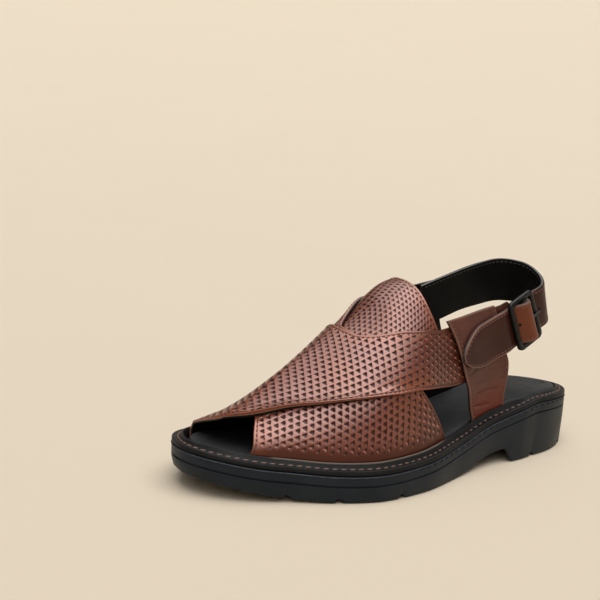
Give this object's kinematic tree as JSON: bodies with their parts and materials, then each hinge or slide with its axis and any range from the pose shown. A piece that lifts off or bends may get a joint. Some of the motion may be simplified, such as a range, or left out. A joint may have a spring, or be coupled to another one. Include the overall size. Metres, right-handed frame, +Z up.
{
  "type": "leather sandal",
  "caption": "Left leather sandal with embossed crossed straps, a domed tongue and a buckled heel strap on a heeled black rubber sole.",
  "frame": {"origin": "on the floor, under the middle of the outline of the sole", "axes": "+X from the heel to the toe, +Y to the outer side of the left foot, +Z up"},
  "size_m": [0.288, 0.115, 0.1233],
  "materials": {
    "rubber_black": "matte moulded black rubber",
    "welt_leather": "black waxed leather",
    "insole_leather": "soft matte black leather",
    "embossed_leather": "brown leather embossed with small pyramids, satin",
    "tongue_leather": "brown leather embossed with small pyramids, satin",
    "quarter_leather": "smooth dark brown leather, satin",
    "strap_leather": "smooth dark brown leather, satin",
    "tab_leather": "smooth dark brown leather, satin",
    "buckle_metal": "black enamelled metal, semi gloss"
  },
  "bodies": {
    "root": {"outsole": "rubber_black", "welt": "welt_leather", "insole": "insole_leather", "upper": "embossed_leather", "tongue": "tongue_leather", "quarter_lateral": "quarter_leather", "quarter_medial": "quarter_leather", "heel_strap": "strap_leather", "buckle_tab": "tab_leather", "buckle_frame": "buckle_metal", "buckle_prong": "buckle_metal"}
  },
  "joints": []
}
